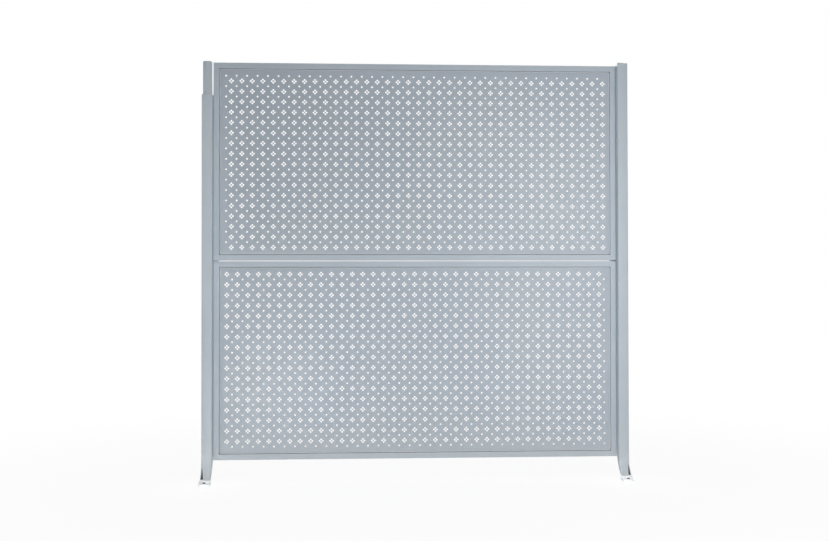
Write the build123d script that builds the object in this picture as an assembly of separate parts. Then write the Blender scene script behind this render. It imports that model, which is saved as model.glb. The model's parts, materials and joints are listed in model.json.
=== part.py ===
"""One bay of a perforated steel fence: two posts with curved feet and two stacked
perforated trays between them.

Millimetres.  X runs along the fence, Y from front to back, Z up.  The origin is on
the underside of the left foot, on the centre line of the left post.
"""
from build123d import *
from math import asin, cos, degrees, pi, radians, sin, sqrt
import os

# Bay and heights
bay_pitch = 2000.0          # between the centre lines of the two posts
ground_clearance = 100.0    # below the lower tray
tray_height = 950.0
tray_gap = 4.0              # between the two trays
tray_side_gap = 0.3         # between a tray and the post beside it

# Posts: a square sleeve whose lower end sweeps forward
post_size = 50.0
post_wall = 3.0
post_corner = 5.0           # outer corner radius of the sleeve
post_to_panel = 40.0        # from the sleeve's front down to the front of the trays
post_above_panel = 3.0      # the right sleeve stands this much above the trays
short_sleeve_drop = 160.0   # the left sleeve stops this far below the trays' top
front_sweep_radius = 105.0  # front wall of the leg
rear_sweep_rise = 38.0      # the rear sweep starts this much above the front one
leg_seat_depth = 29.0       # front to rear of the leg where it stands on the shoe
leg_turn = 63.4             # degrees that the front sweep turns before it meets the shoe
leg_overrun_share = 0.5     # the leg is drawn this share of the seat-to-toe height too low, then cut
toe_thickness = 11.0        # of the shoe, where the front sweep levels out

# Slit at the outer corner of the leg
slit_top = 80.0
slit_base_width = 17.0
slit_depth = 10.0
slit_overrun = 1.0

# Inner pipe of the left post
pipe_diameter = 43.6
pipe_wall = 3.0
pipe_start = 200.0          # height of its lower end inside the sleeve
pipe_above_panel = 0.0
collar_thickness = 3.0
pipe_clearance = 0.2        # radial, in the collar
plug_height = 3.0

# Cap of the right post
cap_inner_height = 7.0
cap_outer_height = 3.0

# Shoes
sole_ahead = 33.0           # origin to the toe
heel_margin = 4.0           # of the shoe behind the leg
shoe_width = 52.0
shoe_corner = 14.0
shoe_edge = 1.2
tongue_height = 40.0        # how far the shoe reaches up into the leg
tongue_clearance = 0.3
anchor_hole_diameter = 14.0
anchor_hole_ahead = 13.0    # origin to the hole
foot_reach = 100.0          # from the front of the post to the toe

# Tray frame: hollow rails with a ledge behind the perforated pan
rail_width = 28.0
rail_depth = 30.0
rail_wall = 2.0
rail_edge = 1.5
ledge_width = 14.0
ledge_thickness = 3.0

# Perforated pan
pan_gap = 2.5               # open groove between rail and pan
pan_setback = 1.0           # pan face behind the rail face
pan_sheet = 1.5
pan_corner = 6.0
pan_edge = 1.4              # bevel round the face

# Perforation: each square of the pattern has a star of four round holes and a single one.
# It is cut enlarged, with the same open area: a large diamond for a star, a small one for a hole.
hole_pitch = 50.0
holes_in_star = 4
hole_diameter = 8.5
plain_border = 20.0         # about this much of the pan stays plain round the pattern
pattern_shift = -2.0        # of the pattern along the upper sheet, from its middle
squares_across = 12         # of the enlarged pattern
squares_down = 6

# Clips that hold the trays to the backs of the posts
clip_thickness = 3.0
clip_height = 60.0
clip_on_post = 34.0
clip_on_tray = 24.0
clip_from_end = 150.0       # from a tray's end to the middle of the end clips

# Derived places
post_front = foot_reach - sole_ahead
post_rear = post_front + post_size
panel_front = post_front + post_to_panel
panel_rear = panel_front + rail_depth
panel_bottom = ground_clearance
panel_top = panel_bottom + 2 * tray_height + tray_gap
tray_width = bay_pitch - post_size - 2 * tray_side_gap
pan_width = tray_width - 2 * rail_width - 2 * pan_gap
pan_height = tray_height - 2 * rail_width - 2 * pan_gap
pattern_width = hole_pitch * round((pan_width - 2 * plain_border) / hole_pitch)
pattern_height = hole_pitch * round((pan_height - 2 * plain_border) / hole_pitch)
square_width = pattern_width / squares_across
square_height = pattern_height / squares_down
enlargement = square_width * square_height / hole_pitch**2
small_arm = sqrt(enlargement * pi * (hole_diameter / 2) ** 2 / 2)
large_arm = small_arm * sqrt(holes_in_star)
right_post_top = panel_top + post_above_panel
left_sleeve_top = panel_top - short_sleeve_drop
front_sweep_y = post_front - front_sweep_radius
front_sweep_z = toe_thickness + front_sweep_radius
leg_reach = front_sweep_radius * (1 - cos(radians(leg_turn)))
leg_seat = front_sweep_z - front_sweep_radius * sin(radians(leg_turn))
shoe_heel = post_front - leg_reach + leg_seat_depth + heel_margin
rear_sweep_z = front_sweep_z + rear_sweep_rise
rear_reach = post_size + leg_reach - leg_seat_depth
rear_sweep_radius = (rear_reach**2 + (rear_sweep_z - leg_seat)**2) / (2 * rear_reach)
rear_sweep_y = post_rear - rear_sweep_radius
pipe_y = post_front + post_size / 2

os.makedirs("parts", exist_ok=True)


def save(node, solid):
    """Write one sub-part under its node name."""
    solid.label = node
    export_step(solid, f"parts/{node}.step")


def block(x0, x1, y0, y1, z0, z1):
    """A box between two corners."""
    middle = Pos((x0 + x1) / 2, (y0 + y1) / 2, (z0 + z1) / 2)
    return middle * Box(x1 - x0, y1 - y0, z1 - z0)


def post_side(inset, bottom, top):
    """Side view of a post as a face in the YZ plane, drawn `inset` inside its outer walls."""
    front_radius = front_sweep_radius + inset
    rear_radius = rear_sweep_radius - inset
    front_turn = degrees(asin((front_sweep_z - bottom) / front_radius))
    rear_turn = degrees(asin((rear_sweep_z - bottom) / rear_radius))
    front_arc = CenterArc((front_sweep_y, front_sweep_z), front_radius, 0, -front_turn)
    rear_arc = CenterArc((rear_sweep_y, rear_sweep_z), rear_radius, 0, -rear_turn)
    front_line = Line((post_front + inset, top), front_arc @ 0)
    sole_line = Line(front_arc @ 1, rear_arc @ 1)
    rear_line = Line(rear_arc @ 0, (post_rear - inset, top))
    top_line = Line((post_rear - inset, top), (post_front + inset, top))
    return make_face(front_line + front_arc + sole_line + rear_arc + rear_line + top_line)


def post_bar(inset, bottom, top):
    """Solid inside the post's outer walls, `inset` from each of them, centred on X = 0."""
    return extrude(Plane.YZ * post_side(inset, bottom, top), post_size / 2 - inset, both=True)


def outer_slit():
    """Cutter for the slit that opens the +X front corner of the leg near the ground."""
    edge = post_size / 2
    outline = Polyline(
        (edge - post_wall - slit_overrun, slit_top),
        (edge + slit_overrun, slit_top),
        (edge + slit_overrun, leg_seat - slit_overrun),
        (edge - slit_base_width, leg_seat - slit_overrun),
        close=True,
    )
    wedge = extrude(Plane.XZ * make_face(outline), post_rear + foot_reach, both=True)
    reach = Rot(0, 90, 0) * Cylinder(front_sweep_radius + slit_depth, 2 * post_size)
    return wedge & (Pos(0, front_sweep_y, front_sweep_z) * reach)


def post(top, outer_side):
    """Sleeve and leg in one, with the slit on its outer side (+1 or -1 along X)."""
    drawn_bottom = leg_seat - leg_overrun_share * (leg_seat - toe_thickness)
    body = post_bar(0, drawn_bottom, top)
    long_edges = body.edges().filter_by(lambda e: abs(abs(e.center().X) - post_size / 2) < 0.01)
    long_edges = long_edges.filter_by(lambda e: drawn_bottom + 0.5 < e.center().Z < top - 0.5)
    body = fillet(long_edges, post_corner)
    body -= post_bar(post_wall, drawn_bottom - 1, top + 1)
    body -= block(-post_size, post_size, -foot_reach, post_rear, 0, leg_seat)
    body -= outer_slit()
    return body if outer_side > 0 else mirror(body, Plane.YZ)


def shoe(outer_side):
    """Cast shoe: a flat sole, a top that carries on the leg's sweep, and a tongue inside the leg.

    The tongue stops short of the leg's slit, on the outer side (+1 or -1 along X).
    """
    footprint = Pos(0, (shoe_heel - sole_ahead) / 2) * Rectangle(shoe_width, shoe_heel + sole_ahead)
    footprint = fillet(footprint.vertices(), shoe_corner)
    base = extrude(footprint, leg_seat)
    hollow = Rot(0, 90, 0) * Cylinder(front_sweep_radius, 2 * shoe_width)
    base -= Pos(0, front_sweep_y, front_sweep_z) * hollow
    rim = base.edges().filter_by(lambda e: e.center().Z > 1.0 and e.length > 5)
    base = chamfer(rim.group_by(Axis.Z)[-1], shoe_edge)
    inset = post_wall + tongue_clearance
    tongue = post_bar(inset, leg_seat - 5, panel_bottom + rear_sweep_z)
    beside_slit = post_size / 2 - slit_base_width
    tongue &= block(-shoe_width, beside_slit, -foot_reach, post_rear, 0, leg_seat + tongue_height)
    base += tongue
    hole = Cylinder(anchor_hole_diameter / 2, 4 * leg_seat)
    base -= Pos(0, -anchor_hole_ahead, 0) * hole
    return base if outer_side > 0 else mirror(base, Plane.YZ)


def rail(length, offset):
    """Hollow rail along X whose outer side is `offset` below the tray's middle, ends mitred."""
    section = Polyline(
        (panel_front, 0),
        (panel_front, rail_width),
        (panel_rear - ledge_thickness, rail_width),
        (panel_rear - ledge_thickness, rail_width + ledge_width),
        (panel_rear, rail_width + ledge_width),
        (panel_rear, 0),
        close=True,
    )
    outer = make_face(section)
    front = outer.vertices().group_by(Axis.X)[0]
    outer = fillet(front, rail_edge)
    room = Pos(panel_front + rail_depth / 2, rail_width / 2) * Rectangle(
        rail_depth - 2 * rail_wall, rail_width - 2 * rail_wall
    )
    bar = extrude(Plane.YZ * (outer - room), length / 2, both=True)
    bar = Pos(0, 0, -offset) * bar
    reach = rail_width + ledge_width + 1
    for end in (-1, 1):
        tip = end * length / 2
        mitre = Polyline(
            (tip, -offset), (tip + end, -offset), (tip + end, reach - offset),
            (tip - end * reach, reach - offset), close=True,
        )
        bar -= extrude(Plane.XZ * make_face(mitre), 2 * panel_rear, both=True)
    return bar


def tray_frame(prefix, middle_z):
    """Four mitred rails round the tray centre at height `middle_z`."""
    across = rail(tray_width, tray_height / 2)
    upright = rail(tray_height, tray_width / 2)
    centre = Pos(bay_pitch / 2, 0, middle_z)
    save(f"{prefix}_bottom_rail", centre * across)
    save(f"{prefix}_left_stile", centre * (Rot(0, 90, 0) * upright))
    save(f"{prefix}_top_rail", centre * (Rot(0, 180, 0) * across))
    save(f"{prefix}_right_stile", centre * (Rot(0, 270, 0) * upright))


def pan():
    """Perforated pan of the upper tray, centred on X = Z = 0, with its rim turned back."""
    face_y = panel_front + pan_setback
    back_y = panel_rear - ledge_thickness
    outline = RectangleRounded(pan_width, pan_height, pan_corner)
    room = RectangleRounded(
        pan_width - 2 * pan_sheet, pan_height - 2 * pan_sheet, pan_corner - pan_sheet
    )
    front = Plane(origin=(0, face_y, 0), x_dir=(1, 0, 0), z_dir=(0, 1, 0))
    body = extrude(front * outline, back_y - face_y)
    body = chamfer(body.edges().group_by(Axis.Y)[0], pan_edge)
    inner = Plane(origin=(0, face_y + pan_sheet, 0), x_dir=(1, 0, 0), z_dir=(0, 1, 0))
    body -= extrude(inner * room, back_y - face_y)
    large = Pos(square_width / 4, -square_height / 4) * RegularPolygon(large_arm, 4)
    small = Pos(-square_width / 4, square_height / 4) * RegularPolygon(small_arm, 4)
    squares = GridLocations(square_width, square_height, squares_across, squares_down)
    diamonds = Sketch() + [square * diamond for square in squares for diamond in (large, small)]
    through = Plane(origin=(pattern_shift, face_y - 1, 0), x_dir=(1, 0, 0), z_dir=(0, -1, 0))
    return body - extrude(through * diamonds, -(pan_sheet + 2))


def clip():
    """Z-shaped clip behind the left post: on the sleeve's back, past the tray's side, on its back."""
    inner = post_size / 2
    step = panel_rear - post_rear
    half = clip_height / 2
    on_post = block(inner - clip_on_post, inner, post_rear, post_rear + clip_thickness, -half, half)
    web = block(inner - clip_thickness, inner, post_rear, panel_rear + clip_thickness, -half, half)
    on_tray = block(
        inner - clip_thickness, inner + clip_on_tray, panel_rear, panel_rear + clip_thickness, -half, half
    )
    return on_post + web + on_tray


# Posts, pipe and caps
save("left_post", post(left_sleeve_top - collar_thickness, -1))
save("right_post", Pos(bay_pitch, 0, 0) * post(right_post_top, 1))

pipe_top = panel_top + pipe_above_panel - plug_height
pipe_length = pipe_top - pipe_start
pipe_ring = Circle(pipe_diameter / 2) - Circle(pipe_diameter / 2 - pipe_wall)
save("left_inner_pipe", Pos(0, pipe_y, pipe_start) * extrude(pipe_ring, pipe_length))

plug = extrude(Circle(pipe_diameter / 2), plug_height)
save("left_pipe_plug", Pos(0, pipe_y, pipe_top) * plug)

collar_plate = RectangleRounded(post_size, post_size, post_corner)
collar_plate -= Circle(pipe_diameter / 2 + pipe_clearance)
collar = extrude(collar_plate, collar_thickness)
save("left_post_collar", Pos(0, pipe_y, left_sleeve_top - collar_thickness) * collar)

cap_side = Polyline(
    (-post_size / 2, 0), (post_size / 2, 0), (post_size / 2, cap_outer_height),
    (-post_size / 2, cap_inner_height), close=True,
)
cap = extrude(Plane.XZ * make_face(cap_side), post_size / 2, both=True)
cap = fillet(cap.edges().filter_by(Axis.Z), post_corner)
save("right_post_cap", Pos(bay_pitch, pipe_y, right_post_top) * cap)

# Shoes
save("left_foot_shoe", shoe(-1))
save("right_foot_shoe", Pos(bay_pitch, 0, 0) * shoe(1))

# Trays
lower_middle = panel_bottom + tray_height / 2
upper_middle = lower_middle + tray_height + tray_gap
tray_frame("lower", lower_middle)
tray_frame("upper", upper_middle)

perforated_pan = pan()
save("upper_perforated_sheet", Pos(bay_pitch / 2, 0, upper_middle) * perforated_pan)
turned_pan = Rot(0, 180, 0) * perforated_pan
save("lower_perforated_sheet", Pos(bay_pitch / 2, 0, lower_middle) * turned_pan)

# Clips
left_clip = clip()
right_clip = mirror(left_clip, Plane.YZ)
clip_heights = {
    "lower": panel_bottom + clip_from_end,
    "middle": panel_bottom + tray_height + tray_gap / 2,
    "upper": left_sleeve_top - clip_from_end,
}
for level, height in clip_heights.items():
    save(f"left_{level}_clip", Pos(0, 0, height) * left_clip)
    save(f"right_{level}_clip", Pos(bay_pitch, 0, height) * right_clip)
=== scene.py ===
"""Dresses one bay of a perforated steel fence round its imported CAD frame.

The bay is two posts with swept feet and two stacked trays of perforated sheet.  Metres
throughout.  X runs along the fence, Y from its front to its back, and Z up.
"""

import json
import logging
import math
from dataclasses import dataclass
from enum import Enum
from typing import Any, Iterable, Optional, Union

import bmesh
import bpy
from mathutils import Matrix, Vector
from mathutils.bvhtree import BVHTree

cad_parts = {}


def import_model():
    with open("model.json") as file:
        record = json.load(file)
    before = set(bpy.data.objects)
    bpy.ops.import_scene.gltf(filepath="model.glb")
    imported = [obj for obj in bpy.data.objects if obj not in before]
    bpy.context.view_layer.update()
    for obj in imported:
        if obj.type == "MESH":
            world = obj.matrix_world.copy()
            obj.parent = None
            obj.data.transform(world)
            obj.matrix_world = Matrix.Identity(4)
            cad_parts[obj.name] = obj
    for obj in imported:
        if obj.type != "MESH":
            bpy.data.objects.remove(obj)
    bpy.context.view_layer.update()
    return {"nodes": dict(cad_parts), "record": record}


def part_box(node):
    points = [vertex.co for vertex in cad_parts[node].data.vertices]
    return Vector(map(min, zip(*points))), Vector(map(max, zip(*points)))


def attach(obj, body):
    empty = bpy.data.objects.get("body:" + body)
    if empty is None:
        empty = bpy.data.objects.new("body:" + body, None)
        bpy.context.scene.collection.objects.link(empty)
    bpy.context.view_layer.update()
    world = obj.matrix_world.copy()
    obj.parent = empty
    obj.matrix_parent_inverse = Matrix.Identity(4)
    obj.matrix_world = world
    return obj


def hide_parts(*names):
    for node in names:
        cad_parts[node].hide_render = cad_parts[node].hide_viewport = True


LOG = logging.getLogger("fence")
BODY = "root"
MM = 0.001
WELD = 0.01 * MM  # vertices nearer than this are one

Colour = tuple[float, float, float, float]
Place = tuple[float, float, float]


class Slot(Enum):
    """The record's material slots."""

    POST = "post_paint"
    FRAME = "frame_paint"
    SHEET = "sheet_paint"
    SHOE = "shoe_zinc"
    CLIP = "clip_zinc"


class Level(Enum):
    """The two trays, from the ground up."""

    LOWER = "lower"
    UPPER = "upper"


class Side(Enum):
    """The two ends of the bay; the value is the direction along X away from its middle."""

    LEFT = -1
    RIGHT = 1


# Shader kit


class Sock:
    """An output socket on which Python's operators add Math nodes."""

    def __init__(self, shader: "Shader", socket: bpy.types.NodeSocket) -> None:
        """Wraps a node's output.

        Args:
            shader: The tree that the node is in.
            socket: The output.
        """
        self.shader = shader
        self.socket = socket

    def _math(self, operation: str, first: "Value", second: "Value" = 0.0) -> "Sock":
        """Adds a Math node and returns its value."""
        return self.shader.node("ShaderNodeMath", {"operation": operation}, {0: first, 1: second})

    def __add__(self, other: "Value") -> "Sock":
        """Sum."""
        return self._math("ADD", self, other)

    def __sub__(self, other: "Value") -> "Sock":
        """Difference."""
        return self._math("SUBTRACT", self, other)

    def __mul__(self, other: "Value") -> "Sock":
        """Product."""
        return self._math("MULTIPLY", self, other)

    def __pow__(self, other: "Value") -> "Sock":
        """Power."""
        return self._math("POWER", self, other)

    def __rsub__(self, other: "Value") -> "Sock":
        """A number less this value."""
        return self._math("SUBTRACT", other, self)

    __radd__ = __add__
    __rmul__ = __mul__

    def most(self, other: "Value") -> "Sock":
        """The larger of the two."""
        return self._math("MAXIMUM", self, other)

    def ramp(self, start: float, end: float, low: float = 0.0, high: float = 1.0) -> "Sock":
        """Maps this value smoothly, and clamped at both ends.

        Args:
            start: The value that becomes `low`.
            end: The value that becomes `high`.
            low: The result at the start.
            high: The result at the end.

        Returns:
            The mapped value.
        """
        return self.shader.node(
            "ShaderNodeMapRange",
            {"interpolation_type": "SMOOTHSTEP", "clamp": True},
            {"Value": self, "From Min": start, "From Max": end, "To Min": low, "To Max": high},
        )

    def sibling(self, output: Union[int, str]) -> "Sock":
        """Another output of the same node."""
        return Sock(self.shader, self.socket.node.outputs[output])


Value = Union[Sock, float]
Linkable = Union[Sock, float, tuple[float, ...]]


class Shader:
    """The node tree of a material or of the world, built up by Python expressions."""

    def __init__(self, owner: Union[bpy.types.Material, bpy.types.World]) -> None:
        """Empties a tree and gets ready to fill it.

        Args:
            owner: The material or world that has the tree.
        """
        owner.use_nodes = True
        self.tree = owner.node_tree
        self.tree.nodes.clear()

    def node(
        self,
        kind: str,
        settings: Optional[dict[str, Any]] = None,
        sockets: Optional[dict[Union[int, str], Linkable]] = None,
        output: Union[int, str] = 0,
    ) -> Optional[Sock]:
        """Adds a node.

        Args:
            kind: The node's type.
            settings: Properties of the node, set before its sockets.
            sockets: Values or links by input name or number.
            output: The output to return.

        Returns:
            That output, wrapped, or nothing for a node that ends the tree.
        """
        made = self.tree.nodes.new(kind)
        for name, value in (settings or {}).items():
            setattr(made, name, value)
        for name, value in (sockets or {}).items():
            if isinstance(value, Sock):
                self.tree.links.new(value.socket, made.inputs[name])
            else:
                made.inputs[name].default_value = value
        return Sock(self, made.outputs[output]) if made.outputs else None

    def position(self) -> Sock:
        """The point on the object, in the frame's metres."""
        return self.node("ShaderNodeTexCoord", output="Object")

    def axes(self, vector: Sock) -> tuple[Sock, Sock, Sock]:
        """Splits a vector into X, Y and Z."""
        first = self.node("ShaderNodeSeparateXYZ", {}, {0: vector})
        return first, first.sibling(1), first.sibling(2)

    def noise(self, where: Sock, scale: float, detail: float = 2.0, roughness: float = 0.5) -> Sock:
        """Soft noise, 0 to 1, with about `scale` features to the metre."""
        sockets = {"Vector": where, "Scale": scale, "Detail": detail, "Roughness": roughness}
        return self.node("ShaderNodeTexNoise", {"normalize": True}, sockets)

    def stretched(self, where: Sock, scale: Place) -> Sock:
        """The position scaled along each axis."""
        return self.node("ShaderNodeMapping", {}, {"Vector": where, "Scale": scale})

    def mix(self, factor: Value, first: Linkable, second: Linkable) -> Sock:
        """Mixes two colours."""
        sockets = {0: factor, 6: first, 7: second}
        return self.node("ShaderNodeMix", {"data_type": "RGBA"}, sockets, output=2)

    def bump(self, height: Sock, distance: float, below: Optional[Sock] = None) -> Sock:
        """Adds a bump.

        Args:
            height: The height over the surface, 0 to 1.
            distance: The full height in metres.
            below: The bump under this one.

        Returns:
            The bumped normal.
        """
        sockets = {"Height": height, "Distance": distance}
        if below is not None:
            sockets["Normal"] = below
        return self.node("ShaderNodeBump", {}, sockets, output="Normal")

    def surface(self, sockets: dict[str, Linkable]) -> None:
        """Ends the tree in a Principled surface with these sockets."""
        self.finish(self.node("ShaderNodeBsdfPrincipled", {}, sockets))

    def finish(self, surface: Sock) -> None:
        """Ends the tree.

        Args:
            surface: The surface or background that it ends in.
        """
        is_world = isinstance(self.tree.id_data, bpy.types.World)
        kind = "ShaderNodeOutputWorld" if is_world else "ShaderNodeOutputMaterial"
        self.node(kind, {}, {"Surface": surface})


def rgb(red: float, green: float, blue: float) -> Colour:
    """Turns a screen colour into the linear colour that shaders take.

    Args:
        red: Red, 0 to 255.
        green: Green, 0 to 255.
        blue: Blue, 0 to 255.

    Returns:
        The linear colour, opaque.
    """

    def linear(value: float) -> float:
        """One channel."""
        share = value / 255
        return share / 12.92 if share <= 0.04045 else ((share + 0.055) / 1.055) ** 2.4

    return (linear(red), linear(green), linear(blue), 1.0)


# Finishes


@dataclass(frozen=True)
class PowderCoat:
    """Satin powder coat: orange peel, a slow drift of tone, and dust near the ground."""

    name: str
    colour: Colour
    drifted: Colour
    roughness: float = 0.42
    peel_height: float = 0.02 * MM
    peel_scale: float = 520.0
    drift_scale: float = 2.2
    cloud_scale: float = 19.8
    cloud_share: float = 0.2
    sag_height: float = 0.0
    sag_scale: float = 3.1
    grime_stretch: Place = (38.0, 38.0, 9.0)
    grime_roughness: float = 0.10
    dust: Colour = rgb(196, 194, 188)
    dust_all_over: float = 0.10
    dust_low: float = 0.2
    dust_low_patches: float = 0.4
    dust_top: float = 0.35
    dust_roughness: float = 0.2

    def material(self) -> bpy.types.Material:
        """Builds the coat.

        Returns:
            The material.
        """
        made = bpy.data.materials.new(self.name)
        shader = Shader(made)
        where = shader.position()
        _, _, height = shader.axes(where)
        drift = shader.noise(where, self.drift_scale, detail=3.0).ramp(0.3, 0.7)
        cloud = shader.noise(where, self.cloud_scale, detail=4.0, roughness=0.6).ramp(0.35, 0.75)
        drifted = drift * (1.0 - self.cloud_share) + cloud * self.cloud_share
        paint = shader.mix(drifted, self.colour, self.drifted)
        streaks = shader.stretched(where, self.grime_stretch)
        grime = shader.noise(streaks, 1.0, detail=6.0, roughness=0.7)
        low = height.ramp(self.dust_top, 0.0)
        patches = grime.ramp(0.5, 0.75) * self.dust_low_patches + self.dust_low
        dusty = grime.ramp(0.42, 0.8) * self.dust_all_over + patches * low
        uneven = (grime.ramp(0.3, 0.8) - 0.5) * self.grime_roughness
        peel = shader.noise(where, self.peel_scale, detail=2.0, roughness=0.55)
        normal = shader.bump(peel, self.peel_height)
        if self.sag_height:
            sag = shader.noise(where, self.sag_scale, detail=1.0, roughness=0.3)
            normal = shader.bump(sag, self.sag_height, normal)
        shader.surface({
            "Base Color": shader.mix(dusty, paint, self.dust),
            "Roughness": uneven + dusty * self.dust_roughness + self.roughness,
            "Normal": normal,
        })
        return made


@dataclass(frozen=True)
class Zinc:
    """Bare zinc: a spangle of crystal tones over a metal sheen, with scuffs."""

    name: str
    light: Colour
    dark: Colour
    spangle: float = 90.0
    metallic: float = 0.55
    roughness: float = 0.38
    crystal_share: float = 0.55
    crystal_roughness: float = 0.12
    scuff_stretch: Place = (60.0, 220.0, 220.0)
    scuff_roughness: float = 0.15
    grain_height: float = 0.03 * MM
    grain_scale: float = 900.0

    def material(self) -> bpy.types.Material:
        """Builds the zinc.

        Returns:
            The material.
        """
        made = bpy.data.materials.new(self.name)
        shader = Shader(made)
        where = shader.position()
        cells = shader.node("ShaderNodeTexVoronoi", {}, {"Vector": where, "Scale": self.spangle},
                            output="Color")
        crystal, _, _ = shader.axes(cells)
        scratches = shader.stretched(where, self.scuff_stretch)
        scuff = shader.noise(scratches, 1.0, detail=5.0, roughness=0.7)
        scuffed = scuff.ramp(0.3, 0.75) * (1.0 - self.crystal_share)
        uneven = crystal * self.crystal_roughness + scuff.ramp(0.4, 0.8) * self.scuff_roughness
        grain = shader.noise(where, self.grain_scale, detail=3.0)
        shader.surface({
            "Base Color": shader.mix(crystal * self.crystal_share + scuffed, self.light, self.dark),
            "Roughness": uneven + self.roughness,
            "Metallic": self.metallic,
            "Normal": shader.bump(grain, self.grain_height),
        })
        return made


@dataclass(frozen=True)
class BoreSteelAndShade:
    """Dark bare steel inside tubes and drilled holes, where no coat reaches; its darkness is also
    painted shade for these hollows.
    """

    name: str = "bore_steel_painted_shade"
    # Painted shade: near-black bluish steel tones for faces that look onto other geometry.
    dark: Colour = rgb(58, 64, 74)
    mottled: Colour = rgb(72, 71, 73)
    roughness: float = 0.8
    mottle_size: float = 160.0

    def material(self) -> bpy.types.Material:
        """Builds the bare steel, darkened as painted shade.

        Returns:
            The material.
        """
        made = bpy.data.materials.new(self.name)
        shader = Shader(made)
        scale = shader.noise(shader.position(), self.mottle_size, detail=4.0, roughness=0.6)
        shader.surface({
            "Base Color": shader.mix(scale.ramp(0.4, 0.7), self.dark, self.mottled),
            "Roughness": self.roughness,
        })
        return made


class Paints:
    """Every finish of the fence, made once and handed out by slot."""

    def __init__(self) -> None:
        """Builds the materials."""
        finishes = {
            Slot.POST: PowderCoat("post_powder_coat", rgb(176, 187, 195), rgb(181, 191, 198)),
            Slot.FRAME: PowderCoat("frame_powder_coat", rgb(174, 185, 195), rgb(180, 190, 199)),
            Slot.SHEET: PowderCoat("sheet_powder_coat", rgb(168, 178, 189), rgb(172, 181, 190),
                                   sag_height=0.6 * MM),
            Slot.SHOE: Zinc("shoe_zinc", rgb(250, 251, 252), rgb(236, 238, 240), metallic=0.15),
            Slot.CLIP: Zinc("clip_zinc", rgb(206, 210, 214), rgb(176, 181, 187),
                            spangle=140.0, metallic=0.8, roughness=0.32),
        }
        self._made = {slot: finish.material() for slot, finish in finishes.items()}
        # Dark bare steel with painted shade, for bores and hollows.
        self.bore_shade = BoreSteelAndShade().material()
        # Near-white sealant: its pale tone is partly painted highlight, standing in for the light
        # line along the groove.
        self.sealant_and_highlight = PowderCoat("groove_sealant", rgb(238, 240, 243), rgb(226, 229, 233),
                                  roughness=0.5).material()

    def of(self, slot: Slot) -> bpy.types.Material:
        """The material of a slot."""
        return self._made[slot]


# Mesh kit


class Mesher:
    """Turns bmesh shapes into pieces of the fence."""

    # A face whose normal meets the piece again within this reach gets bare steel with painted
    # shade.
    SHADE_REACH = 60 * MM
    SHADE_START = 0.1 * MM

    def __init__(self, paints: Paints) -> None:
        """Keeps the finishes that the pieces take."""
        self.paints = paints

    def piece(self, name: str, bm: bmesh.types.BMesh, slot: Slot,
              replaced: Iterable[str] = (), crease: float = 35.0) -> bpy.types.Object:
        """Makes a named object of a bmesh, dressed, riding on the fence and in its slot.

        Args:
            name: The piece's name.
            bm: Its shape, in the frame; freed here.
            slot: The record's slot whose finish it takes.
            replaced: The CAD nodes that it stands for.
            crease: Edges that fold by more than this many degrees stay sharp.

        Returns:
            The object.
        """
        bmesh.ops.recalc_face_normals(bm, faces=bm.faces[:])
        self._shade(bm, crease)
        mesh = bpy.data.meshes.new(name)
        bm.to_mesh(mesh)
        bm.free()
        made = bpy.data.objects.new(name, mesh)
        bpy.context.scene.collection.objects.link(made)
        mesh.materials.append(self.paints.of(slot))
        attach(made, BODY)
        if replaced:
            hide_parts(*replaced)
        triangles = sum(len(face.vertices) - 2 for face in mesh.polygons)
        LOG.info("%s: %d triangles, %s", name, triangles, slot.value)
        return made

    @staticmethod
    def _shade(bm: bmesh.types.BMesh, crease: float) -> None:
        """Smooths the faces and keeps the edges that fold sharply as they are.

        Args:
            bm: The mesh.
            crease: The fold in degrees past which an edge stays sharp.
        """
        limit = math.radians(crease)
        for face in bm.faces:
            face.smooth = True
        for edge in bm.edges:
            edge.smooth = len(edge.link_faces) == 2 and edge.calc_face_angle(0.0) < limit

    def finished(self, node: bpy.types.Object, slot: Slot) -> bpy.types.Object:
        """Stands for a CAD node with a merged copy of it: sweeps shade smoothly, and faces in bores
        and hollows get bare steel with painted shade.

        Args:
            node: The CAD node's object.
            slot: Its slot.

        Returns:
            The copy.
        """
        bm = bmesh.new()
        bm.from_mesh(node.data)
        bmesh.ops.remove_doubles(bm, verts=bm.verts[:], dist=WELD)
        bmesh.ops.recalc_face_normals(bm, faces=bm.faces[:])
        tree = BVHTree.FromBMesh(bm)
        # Painted shade: each face that looks onto the piece itself takes the dark second material.
        for face in bm.faces:
            start = face.calc_center_median() + face.normal * self.SHADE_START
            hit = tree.ray_cast(start, face.normal, self.SHADE_REACH)[0]
            face.material_index = int(hit is not None)
        made = self.piece(f"{node.name}_finished", bm, slot, [node.name])
        made.data.materials.append(self.paints.bore_shade)
        return made


def duplicate_row(bm: bmesh.types.BMesh, geom: list, count: int, step: Vector) -> list:
    """Repeats geometry along a line.

    Args:
        bm: The mesh that holds it.
        geom: Vertices, edges and faces to repeat.
        count: How many there are in the end, the first included.
        step: From one to the next.

    Returns:
        All the geometry, old and new.
    """
    everything = list(geom)
    for number in range(1, count):
        new = bmesh.ops.duplicate(bm, geom=geom)["geom"]
        moved = [item for item in new if isinstance(item, bmesh.types.BMVert)]
        bmesh.ops.translate(bm, verts=moved, vec=step * number)
        everything += new
    return everything


# Trays


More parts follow.
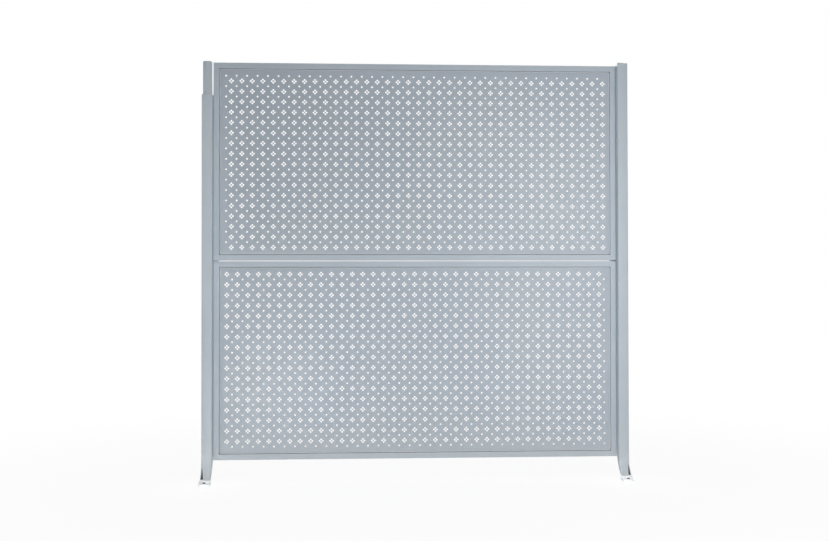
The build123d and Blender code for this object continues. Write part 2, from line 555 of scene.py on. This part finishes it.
@dataclass
class PerforatedPan:
    """A sheet pan with a turned-back rim, punched with stars of four holes and single holes.

    Each hole has as many sides as `hole_sides` and the open area of a round 8.5 mm hole.
    """

    level: Level
    pitch: float = 50 * MM
    columns: int = 37
    rows: int = 17
    hole_radius: float = 4.35 * MM
    hole_sides: int = 12
    star_arm: float = 7.5 * MM
    shift: float = -2 * MM
    corner: float = 6 * MM
    corner_steps: int = 5
    bend: float = 2.0 * MM
    bend_steps: int = 4
    sheet: float = 1.5 * MM

    def build(self, mesher: Mesher) -> bpy.types.Object:
        """Builds the pan where its CAD node is and stands for that node.

        Args:
            mesher: Makes the piece.

        Returns:
            The pan.
        """
        node = f"{self.level.value}_perforated_sheet"
        low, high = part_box(node)
        bm = self._field()
        self._add_rim(bm, high - low)
        self._fill_border(bm)
        bmesh.ops.recalc_face_normals(bm, faces=bm.faces[:])
        bmesh.ops.solidify(bm, geom=bm.faces[:], thickness=self.sheet)
        turn = Matrix.Rotation(math.pi / 2, 4, "X")
        if self.level is Level.LOWER:
            turn = Matrix.Rotation(math.pi, 4, "Y") @ turn
        middle = (low + high) / 2
        place = Matrix.Translation((middle.x, low.y, middle.z))
        bmesh.ops.transform(bm, matrix=place @ turn, verts=bm.verts[:])
        return mesher.piece(f"{self.level.value}_perforated_pan", bm, Slot.SHEET, [node])

    def _hole_centres(self) -> list[tuple[float, float]]:
        """Places the five holes of one square: a single one, then a star.

        Returns:
            Their centres, from the square's middle.
        """
        quarter = self.pitch / 4
        arms = [(self.star_arm, 0), (-self.star_arm, 0), (0, self.star_arm), (0, -self.star_arm)]
        return [(-quarter, quarter)] + [(quarter + x, y - quarter) for x, y in arms]

    def _field(self) -> bmesh.types.BMesh:
        """Punches one square and repeats it over the field.

        Returns:
            The field, flat in the XY plane, with its front towards +Z.
        """
        bm = bmesh.new()
        bmesh.ops.create_grid(bm, x_segments=1, y_segments=1, size=self.pitch / 2)
        bmesh.ops.delete(bm, geom=bm.faces[:], context="FACES_ONLY")
        for x, y in self._hole_centres():
            bmesh.ops.create_circle(bm, cap_ends=False, radius=self.hole_radius,
                                    segments=self.hole_sides, matrix=Matrix.Translation((x, y, 0)))
        bmesh.ops.triangle_fill(bm, use_beauty=True, edges=bm.edges[:], normal=(0, 0, 1))
        first = Vector((self.shift - (self.columns - 1) * self.pitch / 2,
                        (self.rows - 1) * self.pitch / 2, 0))
        bmesh.ops.translate(bm, verts=bm.verts[:], vec=first)
        square = bm.verts[:] + bm.edges[:] + bm.faces[:]
        row = duplicate_row(bm, square, self.columns, Vector((self.pitch, 0, 0)))
        duplicate_row(bm, row, self.rows, Vector((0, -self.pitch, 0)))
        bmesh.ops.remove_doubles(bm, verts=bm.verts[:], dist=WELD)
        return bm

    def _add_rim(self, bm: bmesh.types.BMesh, size: Vector) -> None:
        """Adds the turned-back rim: a rounded outline drawn up from the back and bent over.

        Args:
            bm: The mesh that holds the field.
            size: The pan's size along X, Y and Z.
        """
        corners = bmesh.ops.create_grid(bm, x_segments=1, y_segments=1, size=0.5)["verts"]
        bmesh.ops.scale(bm, vec=(size.x, size.z, 1), verts=corners)
        bmesh.ops.translate(bm, vec=(0, 0, -size.y), verts=corners)
        bmesh.ops.bevel(bm, geom=corners, offset=self.corner, segments=self.corner_steps,
                        profile=0.5, affect="VERTICES", material=-1)
        base = self._large_faces(bm)
        raised = bmesh.ops.extrude_face_region(bm, geom=base)["geom"]
        top = next(item for item in raised if isinstance(item, bmesh.types.BMFace))
        bmesh.ops.translate(bm, vec=(0, 0, size.y), verts=top.verts[:])
        bmesh.ops.bevel(bm, geom=top.edges[:], offset=self.bend, segments=self.bend_steps,
                        profile=0.5, affect="EDGES", material=-1)
        bmesh.ops.delete(bm, geom=self._large_faces(bm), context="FACES_ONLY")

    def _large_faces(self, bm: bmesh.types.BMesh) -> list[bmesh.types.BMFace]:
        """The whole-pan faces, which alone have more corners than the rim's quads."""
        return [face for face in bm.faces if len(face.verts) > 4]

    def _fill_border(self, bm: bmesh.types.BMesh) -> None:
        """Fills the plain border between the punched field and the bend.

        Args:
            bm: The mesh that holds both.
        """
        half_x = self.columns * self.pitch / 2
        half_y = self.rows * self.pitch / 2
        hair = 0.05 * MM

        def in_border(edge: bmesh.types.BMEdge) -> bool:
            """Finds the field's outer edges and the bend's inner ones.

            Args:
                edge: Any edge.

            Returns:
                Whether it is one of them.
            """
            middle = (edge.verts[0].co + edge.verts[1].co) / 2
            outside = (abs(middle.x - self.shift) > half_x - hair
                       or abs(middle.y) > half_y - hair)
            return len(edge.link_faces) == 1 and abs(middle.z) < hair and outside

        edges = [edge for edge in bm.edges if in_border(edge)]
        bmesh.ops.triangle_fill(bm, use_beauty=True, edges=edges, normal=(0, 0, 1))


@dataclass
class GrooveBead:
    """Pale round-topped bead of sealant along the bent edge of a pan, beside the groove; its
    near-white tone is partly painted highlight.
    """

    level: Level
    width: float = 2.2 * MM
    on_pan: float = 1.8 * MM
    depth: float = 2.6 * MM
    proud: float = 0.3 * MM
    corner: float = 6.4 * MM
    corner_steps: int = 5
    crown: float = 1.0 * MM
    crown_steps: int = 3

    def build(self, mesher: Mesher) -> bpy.types.Object:
        """Draws a ring round the pan, lifts it and rounds its crest.

        Args:
            mesher: Makes the piece.

        Returns:
            The bead.
        """
        low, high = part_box(f"{self.level.value}_perforated_sheet")
        size = high - low
        around = 2 * (self.width - self.on_pan)
        bm = bmesh.new()
        corners = bmesh.ops.create_grid(bm, x_segments=1, y_segments=1, size=0.5)["verts"]
        bmesh.ops.scale(bm, vec=(size.x + around, size.z + around, 1), verts=corners)
        bmesh.ops.bevel(bm, geom=corners, offset=self.corner, segments=self.corner_steps,
                        profile=0.5, affect="VERTICES", material=-1)
        inside = bm.faces[:]
        ring = bmesh.ops.inset_region(bm, faces=inside, thickness=self.width,
                                      use_boundary=True)["faces"]
        bmesh.ops.delete(bm, geom=inside, context="FACES_ONLY")
        raised = bmesh.ops.extrude_face_region(bm, geom=ring)["geom"]
        crest = [item for item in raised if isinstance(item, bmesh.types.BMFace)]
        top = {vert for face in crest for vert in face.verts}
        bmesh.ops.translate(bm, vec=(0, 0, self.depth), verts=list(top))
        rims = {edge for face in crest for edge in face.edges
                if not all(other in crest for other in edge.link_faces)}
        bmesh.ops.bevel(bm, geom=list(rims), offset=self.crown, segments=self.crown_steps,
                        profile=0.5, affect="EDGES", material=-1)
        middle = (low + high) / 2
        place = Matrix.Translation((middle.x, low.y - self.proud + self.depth, middle.z))
        turn = Matrix.Rotation(math.pi / 2, 4, "X")
        bmesh.ops.transform(bm, matrix=place @ turn, verts=bm.verts[:])
        made = mesher.piece(f"{self.level.value}_groove_bead", bm, Slot.FRAME)
        # The near-white sealant, partly painted highlight.
        made.data.materials[0] = mesher.paints.sealant_and_highlight
        return made


@dataclass
class MitreWelds:
    """Weld beads along the mitres at the back of a tray's frame."""

    level: Level
    bead_width: float = 5 * MM
    bead_length: float = 3.5 * MM
    bead_height: float = 1.1 * MM
    ripples: int = 15
    ripple_subdivisions: int = 2
    crease: float = 80.0
    clear: float = 3 * MM

    def build(self, mesher: Mesher) -> bpy.types.Object:
        """Lays a bead on each of the four corners.

        Args:
            mesher: Makes the piece.

        Returns:
            The four beads as one piece.
        """
        low, left_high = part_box(f"{self.level.value}_left_stile")
        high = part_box(f"{self.level.value}_right_stile")[1]
        reach = left_high.x - low.x - self.clear
        bm = bmesh.new()
        for x, along_x in ((low.x, 1), (high.x, -1)):
            for z, along_z in ((low.z, 1), (high.z, -1)):
                corner = Vector((x, high.y, z))
                way = Vector((along_x, 0, along_z))
                self._bead(bm, corner + way * self.clear, corner + way * reach)
        name = f"{self.level.value}_mitre_welds"
        return mesher.piece(name, bm, Slot.FRAME, crease=self.crease)

    def _bead(self, bm: bmesh.types.BMesh, start: Vector, end: Vector) -> None:
        """Lays one rippled bead on the back face.

        Args:
            bm: The mesh that it is added to.
            start: The middle of its first ripple.
            end: The middle of its last one.
        """
        way = end - start
        turn = Matrix.Rotation(-math.atan2(way.z, way.x), 4, "Y")
        squash = Matrix.Diagonal((self.bead_length / 2, self.bead_height, self.bead_width / 2, 1))
        for number in range(self.ripples):
            place = Matrix.Translation(start.lerp(end, number / (self.ripples - 1)))
            bmesh.ops.create_icosphere(bm, subdivisions=self.ripple_subdivisions, radius=1.0,
                                       matrix=place @ turn @ squash)


# Posts and clips


@dataclass
class PipePlug:
    """Domed plug in the top of the left post's inner pipe."""

    node: str = "left_pipe_plug"
    edge_share: float = 0.55
    edge_steps: int = 6
    steps: int = 64
    merge: float = 0.001 * MM

    def build(self, mesher: Mesher) -> bpy.types.Object:
        """Spins the plug's outline about the pipe's centre line.

        Args:
            mesher: Makes the piece.

        Returns:
            The plug.
        """
        low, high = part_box(self.node)
        middle = (low + high) / 2
        radius, height = (high.x - low.x) / 2, high.z - low.z
        edge = height * self.edge_share
        outline = [(0.0, 0.0), (radius, 0.0)]
        for number in range(self.edge_steps + 1):
            angle = math.pi / 2 * number / self.edge_steps
            outline.append((radius - edge + edge * math.cos(angle),
                            height - edge + edge * math.sin(angle)))
        outline.append((0.0, height))
        bm = bmesh.new()
        points = [bm.verts.new((x, 0, z)) for x, z in outline]
        line = [bm.edges.new(pair) for pair in zip(points, points[1:])]
        bmesh.ops.spin(bm, geom=points + line, cent=(0, 0, 0), axis=(0, 0, 1),
                       angle=2 * math.pi, steps=self.steps, use_merge=True)
        bmesh.ops.remove_doubles(bm, verts=bm.verts[:], dist=self.merge)
        bmesh.ops.translate(bm, vec=(middle.x, middle.y, low.z), verts=bm.verts[:])
        return mesher.piece("left_pipe_plug_domed", bm, Slot.POST, [self.node])


@dataclass
class ClipBolts:
    """Low hexagon bolts with washers that fix one clip to a post and a tray."""

    side: Side
    height: str
    clip_thickness: float = 3 * MM
    head_radius: float = 5.8 * MM
    head_height: float = 3.2 * MM
    head_sides: int = 6
    head_bevel: float = 0.4 * MM
    head_bevel_steps: int = 2
    washer_radius: float = 7.2 * MM
    washer_height: float = 1.0 * MM
    washer_sides: int = 28
    spacing: float = 32 * MM
    on_post: float = 8 * MM
    on_tray: float = 11 * MM

    def build(self, mesher: Mesher) -> bpy.types.Object:
        """Sets two bolts on the post and two on the tray.

        Args:
            mesher: Makes the piece.

        Returns:
            The four bolts as one piece.
        """
        name = f"{self.side.name.lower()}_{self.height}_clip"
        low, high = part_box(name)
        post_end, tray_end = (low.x, high.x) if self.side is Side.LEFT else (high.x, low.x)
        inwards = -self.side.value
        middle_z = (low.z + high.z) / 2
        bm = bmesh.new()
        for z in (middle_z - self.spacing / 2, middle_z + self.spacing / 2):
            self._bolt(bm, Vector((post_end + inwards * self.on_post,
                                   low.y + self.clip_thickness, z)))
            self._bolt(bm, Vector((tray_end - inwards * self.on_tray, high.y, z)))
        return mesher.piece(f"{name}_bolts", bm, Slot.CLIP)

    def _bolt(self, bm: bmesh.types.BMesh, seat: Vector) -> None:
        """Adds a washer and a bevelled hexagon head that stand out backwards.

        Args:
            bm: The mesh that they are added to.
            seat: Where the bolt's centre line meets the clip.
        """
        outward = Matrix.Translation(seat) @ Matrix.Rotation(-math.pi / 2, 4, "X")
        self._disc(bm, outward, self.washer_radius, 0.0, self.washer_height, self.washer_sides)
        head = self._disc(bm, outward, self.head_radius, self.washer_height, self.head_height,
                          self.head_sides)
        edges = {edge for vert in head for edge in vert.link_edges}
        bmesh.ops.bevel(bm, geom=list(edges), offset=self.head_bevel,
                        segments=self.head_bevel_steps, profile=0.5, affect="EDGES", material=-1)

    @staticmethod
    def _disc(bm: bmesh.types.BMesh, outward: Matrix, radius: float, start: float,
              height: float, sides: int) -> list[bmesh.types.BMVert]:
        """Adds a disc or a prism.

        Args:
            bm: The mesh that it is added to.
            outward: Places +Z on the line out from the seat.
            radius: To its corners.
            start: How far out from the seat it begins.
            height: Its height.
            sides: Its number of sides.

        Returns:
            Its vertices.
        """
        lift = Matrix.Translation((0, 0, start + height / 2))
        return bmesh.ops.create_cone(bm, cap_ends=True, segments=sides, radius1=radius,
                                     radius2=radius, depth=height, matrix=outward @ lift)["verts"]


# Studio


@dataclass(frozen=True)
class Lamp:
    """A soft rectangular lamp."""

    name: str
    place: Place
    target: Place
    size: tuple[float, float]
    power: float
    spread: float = 180.0

    def build(self) -> bpy.types.Object:
        """Hangs the lamp and turns it to its target.

        Returns:
            The lamp.
        """
        data = bpy.data.lights.new(self.name, "AREA")
        data.shape = "RECTANGLE"
        data.size, data.size_y = self.size
        data.energy = self.power
        data.spread = math.radians(self.spread)
        made = bpy.data.objects.new(self.name, data)
        bpy.context.scene.collection.objects.link(made)
        way = Vector(self.target) - Vector(self.place)
        turn = way.to_track_quat("-Z", "Y").to_matrix().to_4x4()
        made.matrix_world = Matrix.Translation(self.place) @ turn
        return made


@dataclass
class Studio:
    """Camera, floor, white surround and soft lamps."""

    lens: float = 45.151
    sensor: float = 36.0
    place: Place = (0.72416, -4.9036, 0.93768)
    yaw: float = 3.0012
    pitch: float = 0.7694
    roll: float = -0.0885
    ambient: float = 0.20
    floor_radius: float = 60.0
    floor_sides: int = 64
    floor_place: Place = (1.0, 0.0, -0.5 * MM)
    floor_tone: Colour = (0.96, 0.96, 0.96, 1.0)
    floor_glow: float = 0.92
    fade_start: float = 1.0
    fade_end: float = 3.5
    lamps: tuple[Lamp, ...] = (
        Lamp("low_right", (1.95, -2.2, 0.2), (1.95, 0.1, 0.2), (0.8, 0.4), 6.8),
        Lamp("mid_right", (2.2, -2.2, 1.1), (2.2, 0.1, 1.1), (0.8, 0.8), 10.2),
        Lamp("high_right", (2.05, -2.2, 1.8), (2.05, 0.1, 1.8), (0.8, 0.8), 10.4),
        Lamp("low_left", (0.05, -2.2, 0.25), (0.05, 0.1, 0.25), (0.8, 0.4), 15.2),
        Lamp("side", (-3.4, -0.7, 1.5), (1.0, 0.1, 1.1), (0.9, 1.6), 18.0),
        Lamp("top", (1.0, -0.3, 4.5), (1.0, -0.25, 0.0), (3.0, 0.6), 18.0),
        Lamp("left_edge", (-0.05, -2.2, 1.4), (0.02, 0.1, 1.4), (0.15, 1.2), 0.07, 10.0),
        Lamp("left_foot", (0.0, -1.6, 1.6), (0.0, -0.02, -0.03), (0.3, 0.3), 0.11, 10.0),
        Lamp("right_foot", (2.0, -1.6, 1.6), (2.0, -0.02, -0.03), (0.3, 0.3), 0.11, 10.0),
        Lamp("back", (1.0, 4.5, 2.6), (1.0, 0.1, 1.0), (3.0, 2.0), 90.0),
    )
    # Painted shade on the floor under the anchor holes: their centres, its radius and its
    # near-black tone.
    holes: tuple[Place, ...] = ((0.0, -0.013, 0.0), (2.0, -0.013, 0.0))
    hole_shade: float = 9 * MM
    hole_shade_tone: Colour = (0.02, 0.02, 0.02, 1.0)
    white: Colour = (1.0, 1.0, 1.0, 1.0)

    def build(self) -> None:
        """Sets up the whole studio."""
        self._camera()
        self._floor()
        self._surround()
        for lamp in self.lamps:
            lamp.build()
        LOG.info("studio: camera, floor and %d lamps", len(self.lamps))

    def _camera(self) -> None:
        """Makes the camera where the photograph was taken from."""
        data = bpy.data.cameras.new("camera")
        data.sensor_width = self.sensor
        data.lens = self.lens
        made = bpy.data.objects.new("camera", data)
        bpy.context.scene.collection.objects.link(made)
        turn = (Matrix.Rotation(math.radians(-self.yaw), 4, "Z")
                @ Matrix.Rotation(math.radians(90 + self.pitch), 4, "X")
                @ Matrix.Rotation(math.radians(self.roll), 4, "Z"))
        made.matrix_world = Matrix.Translation(self.place) @ turn
        bpy.context.scene.camera = made

    def _floor(self) -> None:
        """A pale floor that fades to white away from the fence and keeps its shadow."""
        bm = bmesh.new()
        bmesh.ops.create_circle(bm, cap_ends=True, radius=self.floor_radius,
                                segments=self.floor_sides)
        bmesh.ops.translate(bm, vec=self.floor_place, verts=bm.verts[:])
        mesh = bpy.data.meshes.new("floor")
        bm.to_mesh(mesh)
        bm.free()
        made = bpy.data.objects.new("floor", mesh)
        bpy.context.scene.collection.objects.link(made)
        mesh.materials.append(self._floor_material())

    def _floor_material(self) -> bpy.types.Material:
        """Matt white, seen whiter with distance, with painted shade where the anchor holes stand on
        it.

        Returns:
            The material.
        """
        made = bpy.data.materials.new("floor")
        shader = Shader(made)
        where = shader.position()
        x, y, _ = shader.axes(where)
        across = x - self.floor_place[0]
        away = (across * across + y * y) ** 0.5
        left, right = (self._hole_shade_mask(shader, where, hole) for hole in self.holes)
        outside_hole_shade = left * right
        # Painted shade: near-black floor without glow under each anchor hole, seen through the
        # holes.
        ground = shader.mix(outside_hole_shade, self.hole_shade_tone, self.floor_tone)
        matt = shader.node("ShaderNodeBsdfPrincipled", {}, {
            "Base Color": ground, "Roughness": 1.0, "Specular IOR Level": 0.0})
        white = shader.node("ShaderNodeEmission", {}, {"Color": self.white, "Strength": 1.0})
        path = shader.node("ShaderNodeLightPath", output="Is Camera Ray")
        seen = path.most(path.sibling("Is Glossy Ray"))
        glow = away.ramp(self.fade_start, self.fade_end, self.floor_glow, 1.0)
        factor = seen * glow * outside_hole_shade
        shader.finish(shader.node("ShaderNodeMixShader", {}, {0: factor, 1: matt, 2: white}))
        return made

    def _hole_shade_mask(self, shader: Shader, where: Sock, hole: Place) -> Sock:
        """Marks the floor outside the painted shade under an anchor hole.

        Args:
            shader: The floor's shader.
            where: The point on the floor.
            hole: The hole's centre on the floor.

        Returns:
            0 under the hole and 1 outside it.
        """
        reach = shader.node("ShaderNodeVectorMath", {"operation": "DISTANCE"},
                            {0: where, 1: hole}, output="Value")
        return reach.ramp(self.hole_shade, self.hole_shade + MM)

    def _surround(self) -> None:
        """A white surround that lights the fence softly."""
        world = bpy.data.worlds.new("surround")
        bpy.context.scene.world = world
        shader = Shader(world)
        path = shader.node("ShaderNodeLightPath", output="Is Camera Ray")
        seen = path.most(path.sibling("Is Glossy Ray")).most(path.sibling("Is Transmission Ray"))
        strength = seen.ramp(0.0, 1.0, self.ambient, 1.0)
        shader.finish(shader.node("ShaderNodeBackground", {},
                                  {"Color": self.white, "Strength": strength}))


# The fence


@dataclass
class Fence:
    """The whole bay: CAD nodes dressed in place, and the pieces added round them."""

    nodes: dict[str, bpy.types.Object]
    subparts: list[dict[str, Any]]
    mesher: Mesher

    PAINTED = ("left_post", "right_post", "left_inner_pipe", "left_post_collar", "right_post_cap")
    BARE = ("left_foot_shoe", "right_foot_shoe")
    CLIP_HEIGHTS = ("lower", "middle", "upper")

    def build(self) -> None:
        """Builds the trays' pans, beads and welds, the finished copies, the plug and the bolts."""
        self._dress_nodes()
        for level in Level:
            PerforatedPan(level).build(self.mesher)
            GrooveBead(level).build(self.mesher)
            MitreWelds(level).build(self.mesher)
        for name in self.PAINTED:
            self.mesher.finished(self.nodes[name], Slot.POST)
        for name in self.BARE:
            self.mesher.finished(self.nodes[name], Slot.SHOE)
        PipePlug().build(self.mesher)
        for side in Side:
            for height in self.CLIP_HEIGHTS:
                ClipBolts(side, height).build(self.mesher)

    def _dress_nodes(self) -> None:
        """Gives each CAD node the finish of its slot."""
        slots = {entry["node"]: Slot(entry["material_slot"]) for entry in self.subparts}
        for name, node in sorted(self.nodes.items()):
            node.data.materials.clear()
            node.data.materials.append(self.mesher.paints.of(slots[name]))
            LOG.info("%s: dressed in %s", name, slots[name].value)


def corners(bounds: tuple[Vector, Vector]) -> list[list[float]]:
    """A box as plain lists of numbers."""
    return [[float(value) for value in corner] for corner in bounds]


def main() -> None:
    """Builds the dressed fence and its studio."""
    logging.basicConfig(level=logging.INFO, format="%(name)s: %(message)s")
    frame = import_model()
    bpy.context.scene.view_settings.view_transform = "Standard"
    Studio().build()
    Fence(frame["nodes"], frame["record"]["subparts"], Mesher(Paints())).build()


if __name__ == "__main__":
    main()
